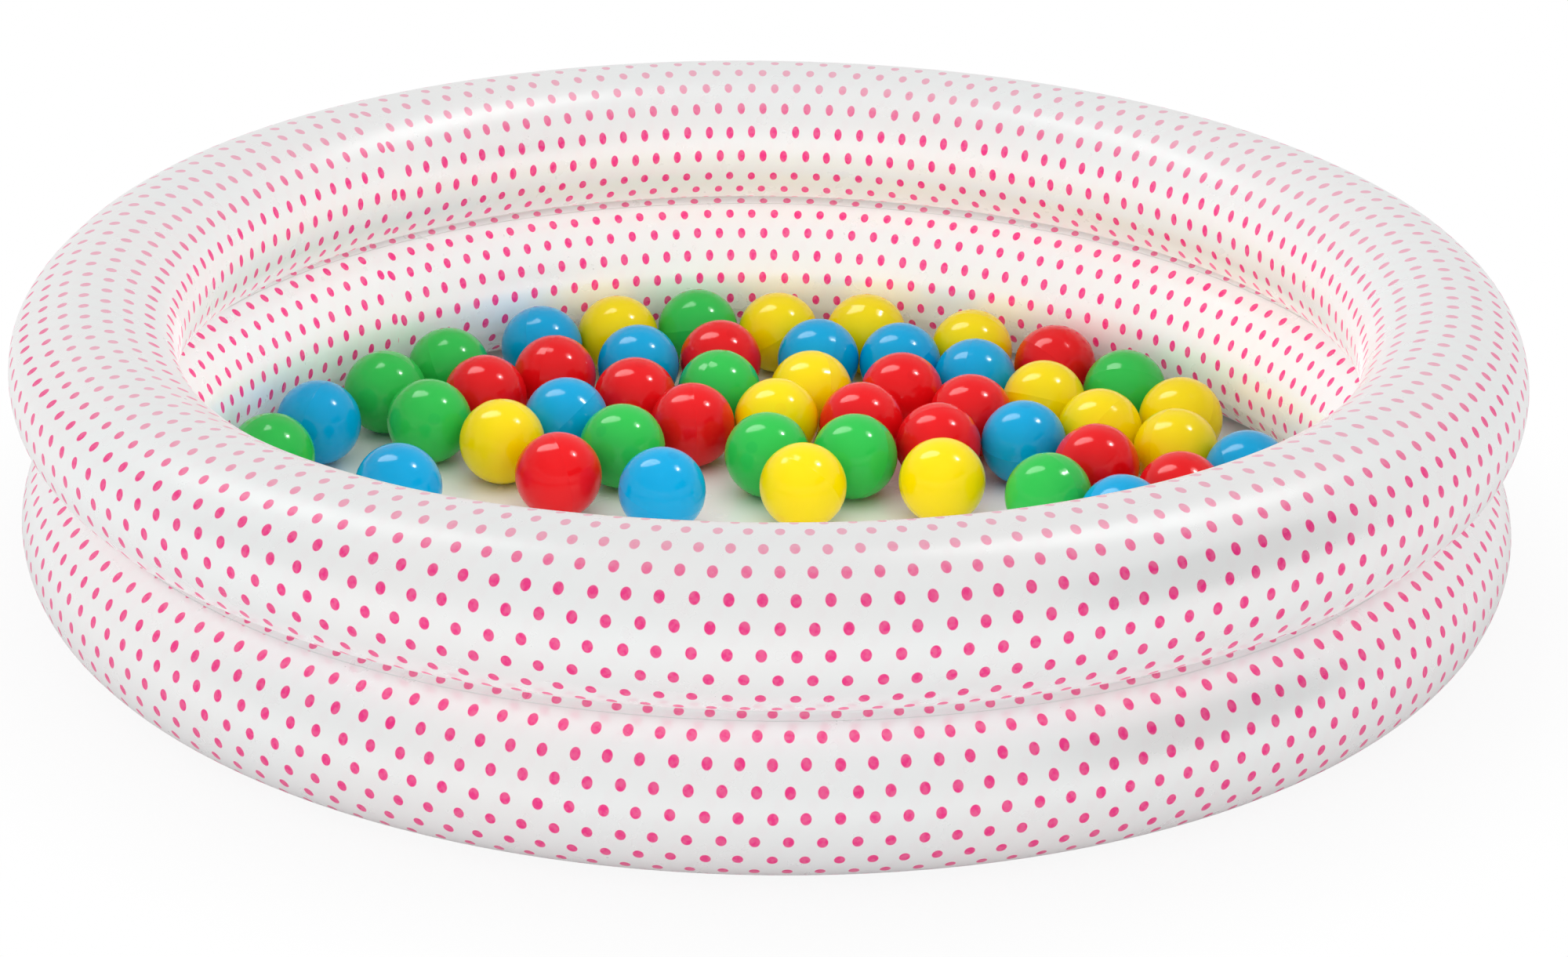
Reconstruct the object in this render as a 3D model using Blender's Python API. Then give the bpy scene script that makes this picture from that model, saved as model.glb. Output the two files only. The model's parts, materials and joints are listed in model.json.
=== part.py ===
"""Two-ring inflatable kiddie pool with loose play balls, in metres, +Z up.

The pool stands on Z = 0 with its centre at the origin, and its front faces -Y.
Two air chambers of thin vinyl film lie one on the other on a film floor. Each
chamber has a push-in valve on the outside at the back. Hollow balls lie loose
on the floor.
"""

import math

import bmesh
import bpy
from mathutils import Matrix, Vector

# Air chambers: overall width, tube sections and film
POOL_DIAMETER = 1.160
UPPER_TUBE_WIDTH = 0.1275
UPPER_TUBE_HEIGHT = 0.1255
LOWER_TUBE_WIDTH = 0.1200
LOWER_TUBE_HEIGHT = 0.1190
FILM_THICKNESS = 0.0003
FACETS_AROUND = 48
FACETS_IN_SECTION = 16

# Floor: one sheet, welded under the lower tube
FLOOR_THICKNESS = 0.0003
FLOOR_WELD_WIDTH = 0.010

# Clearances between pieces that touch, and between pieces that slide
SEAT_GAP = 0.0003
RUNNING_GAP = 0.0003

# Valves: both chambers have the same one, at the same place round the pool
VALVE_FACET = 15
FLANGE_DIAMETER = 0.022
FLANGE_THICKNESS = 0.0012
STEM_DIAMETER = 0.0108
STEM_BORE_DIAMETER = 0.0066
STEM_LENGTH = 0.0150
COLLAR_DIAMETER = 0.0140
COLLAR_THICKNESS = 0.0014
FILM_HOLE_MARGIN = 0.0008
PLUG_HEAD_DIAMETER = 0.0132
PLUG_HEAD_THICKNESS = 0.0018
PLUG_PIN_LENGTH = 0.0070
PLUG_TIP_DIAMETER = 0.0050
PLUG_TIP_LENGTH = 0.0014
TETHER_WIDTH = 0.0030
TETHER_THICKNESS = 0.0008
TETHER_REACH = 0.0040
FLAP_DIAMETER = 0.0092
FLAP_THICKNESS = 0.0006
ROUND_SIDES = 20

# Balls
BALL_DIAMETER = 0.070
BALL_WALL = 0.0005
BLOW_MARK_DIAMETER = 0.0030
BALL_SPACING_GAP = 0.0006
LIFTING_GAP = 0.0015
SPREADING_ROUNDS = 400

# Where each ball lies, from the pool's middle: right and back, in ball diameters
BALL_LAYOUT = [
    # along the back wall
    ("blue", -2.8, 5.2), ("yellow", -1.9, 5.6), ("green", -0.9, 5.9), ("yellow", 0.1, 5.8),
    ("yellow", 1.2, 5.8), ("yellow", 2.5, 5.3), ("red", 3.5, 4.8), ("green", 4.3, 4.0),
    # second row
    ("green", -3.9, 4.4), ("red", -2.6, 4.2), ("blue", -1.6, 4.6), ("red", -0.6, 4.8),
    ("blue", 0.6, 4.9), ("blue", 1.6, 4.8), ("blue", 2.5, 4.3), ("yellow", 3.3, 3.6),
    # third row
    ("green", -4.6, 3.6), ("red", -3.4, 3.5), ("red", -1.6, 3.5), ("green", -0.6, 3.8),
    ("yellow", 0.5, 3.8), ("red", 1.6, 3.8), ("red", 2.4, 3.1), ("yellow", 3.9, 2.7),
    ("yellow", 4.9, 3.1),
    # fourth row
    ("blue", -5.3, 2.6), ("green", -4.0, 2.7), ("blue", -2.4, 2.8), ("red", -0.9, 2.7),
    ("yellow", 0.1, 2.9), ("red", 1.1, 2.8), ("red", 2.0, 2.2), ("blue", 3.0, 2.3),
    ("yellow", 4.8, 2.1),
    # fifth row
    ("green", -5.9, 1.6), ("yellow", -3.1, 2.1), ("green", -1.7, 2.0), ("green", 0.0, 1.8),
    ("green", 1.0, 1.8), ("red", 3.8, 1.6), ("blue", 5.5, 1.5),
    # nearest the front
    ("blue", -4.2, 0.7), ("red", -2.4, 1.1), ("blue", -1.2, 0.7), ("yellow", 0.4, 0.9),
    ("yellow", 2.0, 1.1), ("green", 3.2, 0.7), ("blue", 4.0, 0.1), ("red", 4.7, 0.8),
]

# Heights and radii that follow from the sizes above
FLOOR_TOP = FLOOR_THICKNESS
LOWER_MIDDLE = FLOOR_TOP + SEAT_GAP + LOWER_TUBE_HEIGHT / 2
LOWER_TOP = LOWER_MIDDLE + LOWER_TUBE_HEIGHT / 2
UPPER_MIDDLE = LOWER_TOP + SEAT_GAP + UPPER_TUBE_HEIGHT / 2
CENTRE_LINE = (POOL_DIAMETER - UPPER_TUBE_WIDTH) / 2
VALVE_ANGLE = VALVE_FACET * 2 * math.pi / FACETS_AROUND


def clear_scene() -> None:
    """Remove every object that the file opened with."""
    for old in list(bpy.data.objects):
        bpy.data.objects.remove(old, do_unlink=True)


def make_material(name, colour, roughness, alpha=1.0):
    """Make a Principled material from a colour, a roughness and an opacity."""
    material = bpy.data.materials.new(name)
    material.use_nodes = True
    shader = material.node_tree.nodes["Principled BSDF"]
    shader.inputs["Base Color"].default_value = (*colour, 1.0)
    shader.inputs["Roughness"].default_value = roughness
    shader.inputs["Metallic"].default_value = 0.0
    shader.inputs["Alpha"].default_value = alpha
    material.diffuse_color = (*colour, alpha)
    return material


def link(name, mesh, material):
    """Put a mesh into the scene as a named object with one material."""
    item = bpy.data.objects.new(name, mesh)
    bpy.context.scene.collection.objects.link(item)
    if not mesh.materials:
        mesh.materials.append(material)
    return item


def mesh_from(name, shape):
    """Turn a bmesh into a mesh with its faces pointing out, and free the bmesh."""
    bmesh.ops.recalc_face_normals(shape, faces=shape.faces)
    mesh = bpy.data.meshes.new(name)
    shape.to_mesh(mesh)
    shape.free()
    return mesh


def add_boolean(item, other, operation):
    """Add an exact Boolean with another object, which is kept out of sight."""
    other.hide_render = True
    other.display_type = "WIRE"
    cut = item.modifiers.new(other.name, "BOOLEAN")
    cut.operation = operation
    cut.solver = "EXACT"
    cut.object = other


def turned(name, profile, sides):
    """Turn a closed profile of (radius, height) points about Z into a closed solid."""
    shape = bmesh.new()
    points = [shape.verts.new((radius, 0.0, height)) for radius, height in profile]
    edges = [shape.edges.new((a, b)) for a, b in zip(points, points[1:] + points[:1])]
    bmesh.ops.spin(shape, geom=points + edges, cent=(0, 0, 0), axis=(0, 0, 1),
                   angle=2 * math.pi, steps=sides, use_merge=True)
    bmesh.ops.remove_doubles(shape, verts=shape.verts, dist=1e-6)
    bmesh.ops.dissolve_degenerate(shape, edges=shape.edges, dist=1e-7)
    return mesh_from(name, shape)


def tube_section(width, height, middle):
    """Give the flat-sided outline that just holds an oval tube, as (radius, height) points.

    Its sides touch the oval at the top, the bottom, the inside and the outside.
    """
    outline = []
    reach = 1 / math.cos(math.pi / FACETS_IN_SECTION)
    for step in range(FACETS_IN_SECTION):
        angle = (step + 0.5) * 2 * math.pi / FACETS_IN_SECTION
        radius = CENTRE_LINE + reach * width / 2 * math.cos(angle)
        outline.append((radius, middle + reach * height / 2 * math.sin(angle)))
    return outline


def valve_frame(tube_width, middle):
    """Give the placement of a valve: its +Z points out of the film, its origin on the film."""
    outwards = Vector((math.cos(VALVE_ANGLE), math.sin(VALVE_ANGLE), 0.0))
    upwards = Vector((0.0, 0.0, 1.0))
    sideways = upwards.cross(outwards)
    seat = outwards * (CENTRE_LINE + tube_width / 2) + upwards * middle
    turn = Matrix((sideways, upwards, outwards)).transposed()
    return Matrix.Translation(seat) @ turn.to_4x4()


def air_chamber(name, width, height, middle, material):
    """Make one ring of film: a thin skin round the air, open only where its valve goes in."""
    half_step = math.pi / FACETS_AROUND
    widen = 1 / math.cos(half_step)
    section = [(radius * widen, z) for radius, z in tube_section(width, height, middle)]
    mesh = turned(name, section, FACETS_AROUND)
    mesh.transform(Matrix.Rotation(half_step, 4, "Z"))
    ring = link(name, mesh, material)
    film = ring.modifiers.new("film", "SOLIDIFY")
    film.thickness = FILM_THICKNESS
    film.offset = -1.0
    film.use_even_offset = True
    hole_radius = STEM_DIAMETER / 2 + RUNNING_GAP + FILM_HOLE_MARGIN
    depth = FLANGE_THICKNESS
    cutter_mesh = turned(name + "_hole", [(0.0, -depth), (hole_radius, -depth),
                                          (hole_radius, depth), (0.0, depth)], ROUND_SIDES)
    cutter = link(name + "_hole", cutter_mesh, material)
    cutter.matrix_world = valve_frame(width, middle)
    add_boolean(ring, cutter, "DIFFERENCE")
    return ring


def floor_sheet(material):
    """Make the film floor, which reaches a little past the middle of the lower tube."""
    shape = bmesh.new()
    radius = (CENTRE_LINE + FLOOR_WELD_WIDTH) / math.cos(math.pi / FACETS_AROUND)
    bmesh.ops.create_cone(shape, cap_ends=True, segments=FACETS_AROUND, radius1=radius,
                          radius2=radius, depth=FLOOR_THICKNESS)
    bmesh.ops.translate(shape, verts=shape.verts, vec=(0, 0, FLOOR_THICKNESS / 2))
    return link("floor_sheet", mesh_from("floor_sheet", shape), material)


def flange(name, placement, material):
    """Make the soft disc that is welded to the film round a valve."""
    inner = STEM_DIAMETER / 2 + RUNNING_GAP
    low = SEAT_GAP
    high = low + FLANGE_THICKNESS
    profile = [(inner, low), (FLANGE_DIAMETER / 2, low), (FLANGE_DIAMETER / 2, high), (inner, high)]
    item = link(name, turned(name, profile, ROUND_SIDES), material)
    item.matrix_world = placement
    return item


def stem(name, placement, material):
    """Make the blow tube, pushed in until its collar rests on the flange."""
    bore = STEM_BORE_DIAMETER / 2
    outer = STEM_DIAMETER / 2
    seat = SEAT_GAP + FLANGE_THICKNESS + SEAT_GAP
    top = seat + COLLAR_THICKNESS
    bottom = seat - STEM_LENGTH
    profile = [(bore, bottom), (outer, bottom), (outer, seat), (COLLAR_DIAMETER / 2, seat),
               (COLLAR_DIAMETER / 2, top), (bore, top)]
    item = link(name, turned(name, profile, ROUND_SIDES), material)
    item.matrix_world = placement
    return item


def plug(name, placement, material):
    """Make the stopper: a head over the collar, a pin in the bore and a tether at its side."""
    seat = 3 * SEAT_GAP + FLANGE_THICKNESS + COLLAR_THICKNESS
    head = PLUG_HEAD_DIAMETER / 2
    pin = STEM_BORE_DIAMETER / 2 - RUNNING_GAP
    tip = min(PLUG_TIP_DIAMETER / 2, pin)
    end = seat - PLUG_PIN_LENGTH
    profile = [(0.0, end), (tip, end), (pin, end + PLUG_TIP_LENGTH), (pin, seat), (head, seat),
               (head, seat + PLUG_HEAD_THICKNESS), (0.0, seat + PLUG_HEAD_THICKNESS)]
    item = link(name, turned(name, profile, ROUND_SIDES), material)
    item.matrix_world = placement
    tether = link(name + "_tether", tether_mesh(name, seat, head), material)
    tether.matrix_world = placement
    add_boolean(item, tether, "UNION")
    return item


def tether_mesh(name, seat, head):
    """Make the strap that leaves the plug's head, turns over and comes back to the collar."""
    near = head - PLUG_HEAD_THICKNESS / 2
    collar = COLLAR_DIAMETER / 2 + SEAT_GAP
    far = COLLAR_DIAMETER / 2 + TETHER_REACH
    high = seat + (PLUG_HEAD_THICKNESS + TETHER_THICKNESS) / 2
    low = seat - SEAT_GAP - COLLAR_THICKNESS
    thick = TETHER_THICKNESS
    outline = [(near, high - thick), (near, high), (far - thick, high), (far, high - thick),
               (far, low + thick), (far - thick, low), (collar, low), (collar, low + thick),
               (far - 2 * thick, low + thick), (far - thick, low + 2 * thick),
               (far - thick, high - 2 * thick), (far - 2 * thick, high - thick)]
    shape = bmesh.new()
    corners = [shape.verts.new((x, -TETHER_WIDTH / 2, z)) for x, z in outline]
    side = shape.faces.new(corners)
    pulled = bmesh.ops.extrude_face_region(shape, geom=[side])
    moved = [part for part in pulled["geom"] if isinstance(part, bmesh.types.BMVert)]
    bmesh.ops.translate(shape, verts=moved, vec=(0, TETHER_WIDTH, 0))
    return mesh_from(name + "_tether", shape)


def flap(name, placement, material):
    """Make the round flap that closes the inner end of a stem, hinged at its upper edge."""
    stem_end = 2 * SEAT_GAP + FLANGE_THICKNESS - STEM_LENGTH
    high = stem_end - SEAT_GAP
    low = high - FLAP_THICKNESS
    radius = FLAP_DIAMETER / 2
    profile = [(0.0, low), (radius, low), (radius, high), (0.0, high)]
    mesh = turned(name, profile, ROUND_SIDES)
    hinge = Vector((0.0, radius, high))
    mesh.transform(Matrix.Translation(-hinge))
    item = link(name, mesh, material)
    item.matrix_world = placement @ Matrix.Translation(hinge)
    return item


def valve(prefix, tube_width, middle, soft, clear):
    """Make one valve: its flange, stem, plug and flap."""
    placement = valve_frame(tube_width, middle)
    flange(prefix + "_valve_flange", placement, soft)
    stem(prefix + "_valve_stem", placement, clear)
    plug(prefix + "_valve_plug", placement, clear)
    flap(prefix + "_valve_flap", placement, soft)


def ball_places():
    """Give the middle of each ball on the floor, spread until none touches another or the wall.

    Each round moves every pair that is too close apart by half of what is missing, and
    every ball that reaches the lower tube, or would meet the upper one as it is lifted
    out, back towards the middle.
    """
    radius = BALL_DIAMETER / 2
    apart = BALL_DIAMETER + BALL_SPACING_GAP
    rest = FLOOR_TOP + SEAT_GAP + radius
    reach = 1 / math.cos(math.pi / FACETS_IN_SECTION)
    tube = max(LOWER_TUBE_WIDTH, LOWER_TUBE_HEIGHT) / 2 * reach
    rise = min(abs(LOWER_MIDDLE - rest), tube)
    lower_limit = CENTRE_LINE - math.sqrt((tube + radius + SEAT_GAP) ** 2 - rise ** 2)
    upper_limit = CENTRE_LINE - UPPER_TUBE_WIDTH / 2 - radius - LIFTING_GAP
    limit = min(lower_limit, upper_limit)
    places = [Vector((right * BALL_DIAMETER, back * BALL_DIAMETER))
              for _, right, back in BALL_LAYOUT]
    for _ in range(SPREADING_ROUNDS):
        for first, a in enumerate(places):
            for b in places[first + 1:]:
                between = b - a
                missing = apart - between.length
                if missing > 0:
                    push = between.normalized() * missing / 2
                    a -= push
                    b += push
        for place in places:
            if place.length > limit:
                place *= limit / place.length
    return [Vector((place.x, place.y, rest)) for place in places]


def ball_mesh():
    """Make the hollow ball that all share: a thin shell with its small blow mark open."""
    shape = bmesh.new()
    bmesh.ops.create_icosphere(shape, subdivisions=2, radius=BALL_DIAMETER / 2)
    marked = min(shape.faces, key=lambda face: (round(face.calc_center_median().z, 4),
                                                round(face.calc_center_median().x, 4),
                                                round(face.calc_center_median().y, 4)))
    spread = min((vertex.co - marked.calc_center_median()).length for vertex in marked.verts)
    inset = (spread - BLOW_MARK_DIAMETER / 2) / 2
    bmesh.ops.inset_individual(shape, faces=[marked], thickness=inset, use_even_offset=True)
    bmesh.ops.delete(shape, geom=[marked], context="FACES")
    return mesh_from("ball", shape)


def balls(materials):
    """Make every ball, numbered from the back, each in its own colour."""
    mesh = ball_mesh()
    for number, (entry, place) in enumerate(zip(BALL_LAYOUT, ball_places()), start=1):
        own = mesh.copy()
        ball = link(f"ball_{number:02d}", own, materials[entry[0]])
        ball.location = place
        shell = ball.modifiers.new("wall", "SOLIDIFY")
        shell.thickness = BALL_WALL
        shell.offset = -1.0
        shell.use_even_offset = True


def main() -> None:
    """Build the whole pool."""
    clear_scene()
    pearl = make_material("pearl_vinyl", (0.93, 0.90, 0.91), 0.30)
    floor = make_material("floor_vinyl", (0.93, 0.94, 0.93), 0.35)
    soft = make_material("soft_valve_vinyl", (0.90, 0.90, 0.89), 0.40)
    clear = make_material("clear_valve_vinyl", (0.84, 0.88, 0.90), 0.30)
    ball_colours = {
        "red": make_material("red_ball", (0.80, 0.02, 0.02), 0.25),
        "yellow": make_material("yellow_ball", (0.95, 0.75, 0.00), 0.25),
        "blue": make_material("blue_ball", (0.00, 0.33, 0.72), 0.25),
        "green": make_material("green_ball", (0.07, 0.45, 0.06), 0.25),
    }
    air_chamber("lower_ring", LOWER_TUBE_WIDTH, LOWER_TUBE_HEIGHT, LOWER_MIDDLE, pearl)
    air_chamber("upper_ring", UPPER_TUBE_WIDTH, UPPER_TUBE_HEIGHT, UPPER_MIDDLE, pearl)
    floor_sheet(floor)
    valve("lower", LOWER_TUBE_WIDTH, LOWER_MIDDLE, soft, clear)
    valve("upper", UPPER_TUBE_WIDTH, UPPER_MIDDLE, soft, clear)
    balls(ball_colours)
    bpy.context.view_layer.update()


main()
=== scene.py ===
"""Dresses the two-ring kiddie pool with its printed film, floor, valves and play balls.

Lengths are in metres and angles in degrees. The front of the pool is towards -Y.
"""

import json
import logging
import math
import random
from collections.abc import Callable
from dataclasses import dataclass
from enum import Enum

import bmesh
import bpy
from mathutils import Matrix, Vector

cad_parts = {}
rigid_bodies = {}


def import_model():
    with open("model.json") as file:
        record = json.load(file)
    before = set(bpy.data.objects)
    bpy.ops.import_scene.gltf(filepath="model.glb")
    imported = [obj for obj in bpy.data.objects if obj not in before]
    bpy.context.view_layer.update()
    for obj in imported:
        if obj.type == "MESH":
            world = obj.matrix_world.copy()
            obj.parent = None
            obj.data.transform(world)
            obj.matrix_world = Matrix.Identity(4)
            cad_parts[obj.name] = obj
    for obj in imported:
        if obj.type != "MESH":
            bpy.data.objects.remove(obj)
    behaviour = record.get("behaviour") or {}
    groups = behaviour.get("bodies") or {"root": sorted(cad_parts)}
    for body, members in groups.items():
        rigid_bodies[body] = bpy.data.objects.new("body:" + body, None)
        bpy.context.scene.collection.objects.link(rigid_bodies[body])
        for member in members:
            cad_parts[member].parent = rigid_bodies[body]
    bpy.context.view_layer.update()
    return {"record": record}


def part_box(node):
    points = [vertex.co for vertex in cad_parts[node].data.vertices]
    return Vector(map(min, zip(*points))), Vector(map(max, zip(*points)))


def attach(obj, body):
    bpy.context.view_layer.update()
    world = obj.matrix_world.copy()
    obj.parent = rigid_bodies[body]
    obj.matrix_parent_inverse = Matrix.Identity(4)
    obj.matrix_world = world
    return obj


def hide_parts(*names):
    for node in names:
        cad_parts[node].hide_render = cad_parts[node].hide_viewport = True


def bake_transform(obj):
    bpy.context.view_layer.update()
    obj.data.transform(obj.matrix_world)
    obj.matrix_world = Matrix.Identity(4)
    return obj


log = logging.getLogger("kiddie_pool")

Socket = bpy.types.NodeSocket
Colour = tuple[float, float, float, float]
Profile = list[tuple[float, float]]

CENTRE_LINE = 0.51625
VALVE_ANGLE = 112.5
SEAM_ANGLE = 134.0
DOT_COLUMNS = 156.5
WAIST_HEIGHT = 0.1197
WAIST_LIFT = 0.0036
ROW_STEP = 18.0
FLOOR_TOP = 0.0003


class Body(Enum):
    """The bodies that the pieces move with."""

    POOL = "pool"
    BALLS = "balls"


class Rays(Enum):
    """What a lamp shines on: matt surfaces, glossy ones, or both."""

    MATT = "matt"
    GLOSS = "gloss"
    BOTH = "both"


class BallColour(Enum):
    """The four moulded colours, each with its body colour and its shade in thick places."""

    RED = ((0.79, 0.005, 0.008, 1.0), (0.71, 0.001, 0.004, 1.0))
    YELLOW = ((0.92, 0.72, 0.0, 1.0), (0.92, 0.64, 0.0, 1.0))
    BLUE = ((0.0, 0.375, 0.70, 1.0), (0.0, 0.31, 0.62, 1.0))
    GREEN = ((0.028, 0.525, 0.076, 1.0), (0.012, 0.47, 0.072, 1.0))


class NodeSheet:
    """Places and joins the nodes of one material or world."""

    def __init__(self, tree: bpy.types.NodeTree) -> None:
        """Start from an empty tree."""
        self.tree = tree
        self.tree.nodes.clear()

    def node(self, kind: str, **settings: object) -> bpy.types.Node:
        """Add a node and set its properties.

        Args:
            kind: The node's type name.
            **settings: Properties to set on it.

        Returns:
            The new node.
        """
        made = self.tree.nodes.new(kind)
        for key, value in settings.items():
            setattr(made, key, value)
        return made

    def feed(self, target: Socket, value: object) -> None:
        """Give a socket a plain value, or join another socket to it."""
        if isinstance(value, bpy.types.NodeSocket):
            self.tree.links.new(value, target)
        else:
            target.default_value = value

    def maths(self, operation: str, *values: object, clamp: bool = False) -> Socket:
        """Work out a number.

        Args:
            operation: The name of the sum.
            *values: Its inputs, as numbers or sockets.
            clamp: Whether the result is kept between 0 and 1.

        Returns:
            The socket with the result.
        """
        made = self.node("ShaderNodeMath", operation=operation, use_clamp=clamp)
        for target, value in zip(made.inputs, values):
            self.feed(target, value)
        return made.outputs[0]

    def smooth(self, value: object, start: float, end: float, low: float = 0.0, high: float = 1.0) -> Socket:
        """Ease a number from one level to another.

        Args:
            value: The number that drives the change.
            start: Where the change starts.
            end: Where it ends.
            low: The level at the start.
            high: The level at the end.

        Returns:
            The socket with the level.
        """
        made = self.node("ShaderNodeMapRange", interpolation_type="SMOOTHSTEP")
        for target, given in zip(made.inputs, (value, start, end, low, high)):
            self.feed(target, given)
        return made.outputs[0]

    def noise(self, vector: Socket, scale: float, detail: float = 2.0, rough: float = 0.5) -> Socket:
        """Add soft noise from 0 to 1 on the given coordinates."""
        made = self.node("ShaderNodeTexNoise")
        self.feed(made.inputs["Vector"], vector)
        made.inputs["Scale"].default_value = scale
        made.inputs["Detail"].default_value = detail
        made.inputs["Roughness"].default_value = rough
        return made.outputs[0]

    def tint(self, factor: object, first: object, second: object) -> Socket:
        """Mix two colours."""
        made = self.node("ShaderNodeMix", data_type="RGBA")
        self.feed(made.inputs[0], factor)
        self.feed(made.inputs[6], first)
        self.feed(made.inputs[7], second)
        return made.outputs[2]

    def bump(self, height: Socket, strength: float, distance: float) -> Socket:
        """Turn a height into a bumped normal."""
        made = self.node("ShaderNodeBump")
        made.inputs["Strength"].default_value = strength
        made.inputs["Distance"].default_value = distance
        self.feed(made.inputs["Height"], height)
        return made.outputs[0]

    def object_place(self) -> Socket:
        """Give the coordinates of the piece."""
        return self.node("ShaderNodeTexCoord").outputs["Object"]

    def principled(self, **inputs: object) -> bpy.types.Node:
        """Add the main shader, give it its inputs and join it to the output.

        Args:
            **inputs: Values or sockets by input name, with _ for a blank.

        Returns:
            The shader node.
        """
        shader = self.node("ShaderNodeBsdfPrincipled")
        for key, value in inputs.items():
            self.feed(shader.inputs[key.replace("_", " ")], value)
        output = self.node("ShaderNodeOutputMaterial")
        self.feed(output.inputs["Surface"], shader.outputs[0])
        return shader


def new_material(name: str) -> tuple[bpy.types.Material, NodeSheet]:
    """Make a material with an empty node sheet."""
    material = bpy.data.materials.new(name)
    material.use_nodes = True
    return material, NodeSheet(material.node_tree)


@dataclass(frozen=True)
class FilmFinish:
    """Pearly white film with rows of small pink dots, every other row set half a step over."""

    dot_width: float = 0.333
    dot_height: float = 0.49
    unevenness: float = 0.05
    print_colour: Colour = (1.0, 0.044, 0.280, 1.0)
    # The print painted paler, as a painted sheen, where the tube tops mirror the light overhead.
    sheen_paled_print: Colour = (0.97, 0.60, 0.70, 1.0)
    warm_pearl: Colour = (0.972, 0.970, 0.962, 1.0)
    cool_pearl: Colour = (0.955, 0.974, 0.970, 1.0)

    def dots(self, sheet: NodeSheet, column: Socket, row: Socket, soft: float) -> Socket:
        """Draw the oval dots on coordinates that count columns and rows.

        Args:
            sheet: The node sheet to draw on.
            column: The coordinate along a row, one step for each dot.
            row: The coordinate across the rows, one step for each row.
            soft: How far the edge of a dot fades, as a share of its radius.

        Returns:
            A socket that is 1 on a dot and 0 between the dots.
        """
        row_number = sheet.maths("FLOOR", sheet.maths("ADD", row, 0.5))
        across = sheet.maths("SUBTRACT", row, row_number)
        odd = sheet.maths("FLOORED_MODULO", row_number, 2.0)
        shifted = sheet.maths("MULTIPLY_ADD", odd, 0.5, column)
        column_number = sheet.maths("FLOOR", sheet.maths("ADD", shifted, 0.5))
        along = sheet.maths("SUBTRACT", shifted, column_number)
        cell = sheet.node("ShaderNodeCombineXYZ")
        sheet.feed(cell.inputs[0], column_number)
        sheet.feed(cell.inputs[1], row_number)
        chance = sheet.node("ShaderNodeTexWhiteNoise", noise_dimensions="2D")
        sheet.feed(chance.inputs["Vector"], cell.outputs[0])
        shift = sheet.node("ShaderNodeSeparateColor")
        sheet.feed(shift.inputs[0], chance.outputs["Color"])
        wide = sheet.maths("MULTIPLY_ADD", sheet.maths("SUBTRACT", shift.outputs[0], 0.5), self.unevenness, along)
        tall = sheet.maths("MULTIPLY_ADD", sheet.maths("SUBTRACT", shift.outputs[1], 0.5), self.unevenness, across)
        wide = sheet.maths("DIVIDE", wide, self.dot_width / 2)
        tall = sheet.maths("DIVIDE", tall, self.dot_height / 2)
        reach = sheet.maths("SQRT", sheet.maths("ADD", sheet.maths("MULTIPLY", wide, wide),
                                                sheet.maths("MULTIPLY", tall, tall)))
        return sheet.smooth(reach, 1.0 - soft, 1.0 + soft, 1.0, 0.0)

    def build(self) -> bpy.types.Material:
        """Make the material from the print map and the piece's own coordinates."""
        material, sheet = new_material("pearl_film")
        chart = sheet.node("ShaderNodeSeparateXYZ")
        sheet.feed(chart.inputs[0], sheet.node("ShaderNodeUVMap", uv_map="print").outputs[0])
        column, row = chart.outputs[0], chart.outputs[1]
        place = sheet.object_place()
        dots = self.dots(sheet, column, row, 0.10)
        # Painted show-through: faint, blurred dots of the film's far side, painted on where light through the film
        # would show them.
        painted_show_through = self.dots(sheet, sheet.maths("ADD", column, 0.31), sheet.maths("ADD", row, 0.44), 0.45)
        pearl = sheet.tint(sheet.smooth(sheet.noise(place, 7.0), 0.35, 0.65), self.warm_pearl, self.cool_pearl)
        pearl = sheet.tint(sheet.maths("MULTIPLY", painted_show_through, 0.02), pearl, self.print_colour)
        height = sheet.node("ShaderNodeSeparateXYZ")
        sheet.feed(height.inputs[0], place)
        # Painted sheen: the print is painted paler on the tops of the tubes, where they mirror the light overhead, and
        # less on the lower ring, which the upper ring shades.
        painted_top_sheen = sheet.maths("MULTIPLY", sheet.smooth(row, 1.8, 4.8), sheet.smooth(row, 6.3, 9.2, 1.0, 0.0))
        painted_top_sheen = sheet.maths("MULTIPLY", painted_top_sheen, sheet.smooth(height.outputs[2], 0.10, 0.20, 0.15, 0.75))
        print_and_sheen = sheet.tint(painted_top_sheen, self.print_colour, self.sheen_paled_print)
        ink = sheet.smooth(sheet.noise(place, 260.0, 1.0), 0.30, 0.70, 0.90, 1.0)
        colour = sheet.tint(sheet.maths("MULTIPLY", dots, ink), pearl, print_and_sheen)
        gloss = sheet.smooth(sheet.noise(place, 40.0, 3.0), 0.30, 0.70, 0.27, 0.33)
        out = sheet.maths("SQRT", sheet.maths("ADD", sheet.maths("MULTIPLY", height.outputs[0], height.outputs[0]),
                                              sheet.maths("MULTIPLY", height.outputs[1], height.outputs[1])))
        inner = sheet.maths("MULTIPLY", sheet.smooth(out, 0.490, 0.520, 1.0, 0.0),
                            sheet.smooth(height.outputs[2], 0.165, 0.215, 1.0, 0.0))
        inner = sheet.maths("MULTIPLY", inner, sheet.smooth(height.outputs[2], 0.115, 0.130))
        sheen = sheet.maths("MULTIPLY_ADD", inner, -0.16, 0.22)
        slack = sheet.noise(place, 22.0, 2.0)
        sheet.principled(Base_Color=colour, Metallic=sheen, Roughness=gloss, IOR=1.34, Coat_Weight=0.15,
                         Coat_Roughness=0.15, Coat_IOR=1.40, Normal=sheet.bump(slack, 0.08, 0.0020))
        return material


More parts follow.
